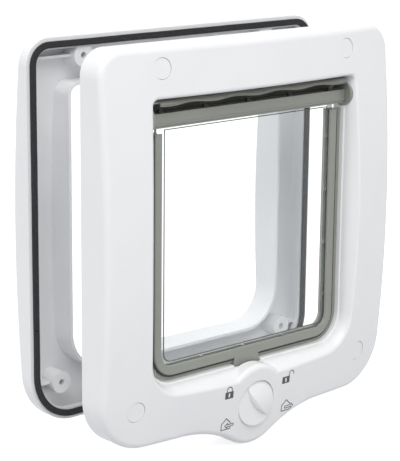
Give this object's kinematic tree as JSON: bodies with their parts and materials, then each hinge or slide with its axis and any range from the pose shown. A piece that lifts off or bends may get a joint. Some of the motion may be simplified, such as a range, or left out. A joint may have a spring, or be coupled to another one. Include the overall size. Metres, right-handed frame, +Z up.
{
  "type": "cat flap",
  "caption": "Locking cat flap for a door: white room-side frame with a clear swinging flap and a rotary lock knob, and a matching outdoor frame with a foam seal.",
  "frame": {"origin": "on the door's room-side face, on the middle plane, midway between the screw rows", "axes": "+X to the right seen from the room, +Y through the door towards the outside, +Z up"},
  "size_m": [0.2372, 0.1001, 0.2582],
  "materials": {
    "white_plastic": "satin",
    "grey_plastic": "satin",
    "clear_panel": "clear",
    "soft_strip": "matt",
    "foam": "matt foam",
    "steel": "drawn",
    "magnet": "matt ferrite"
  },
  "bodies": {
    "frame": {"front_frame": "white_plastic", "screw_cap_upper_left": "white_plastic", "screw_cap_upper_right": "white_plastic", "screw_cap_lower_left": "white_plastic", "screw_cap_lower_right": "white_plastic", "hinge_bush_left": "grey_plastic", "hinge_bush_right": "grey_plastic", "sill_magnet": "magnet", "rear_frame": "white_plastic", "foam_seal": "foam"},
    "flap": {"hinge_axle": "steel", "hinge_bar": "grey_plastic", "draught_strip": "soft_strip", "flap_panel": "clear_panel", "flap_trim_front": "grey_plastic", "flap_trim_rear": "grey_plastic", "flap_magnet": "magnet"},
    "lock": {"lock_knob": "white_plastic", "lock_cam": "white_plastic", "knob_screw": "steel", "spring_washer": "steel"}
  },
  "joints": [
    {"name": "flap_swing", "type": "hinge", "parent": "frame", "child": "flap", "pos_m": [0, -0.014, 0.0716], "axis": [1, 0, 0], "range_deg": [0, 80]},
    {"name": "knob_turn", "type": "hinge", "parent": "frame", "child": "lock", "pos_m": [0, -0.0228, -0.1162], "axis": [0, -1, 0], "continuous": true}
  ]
}
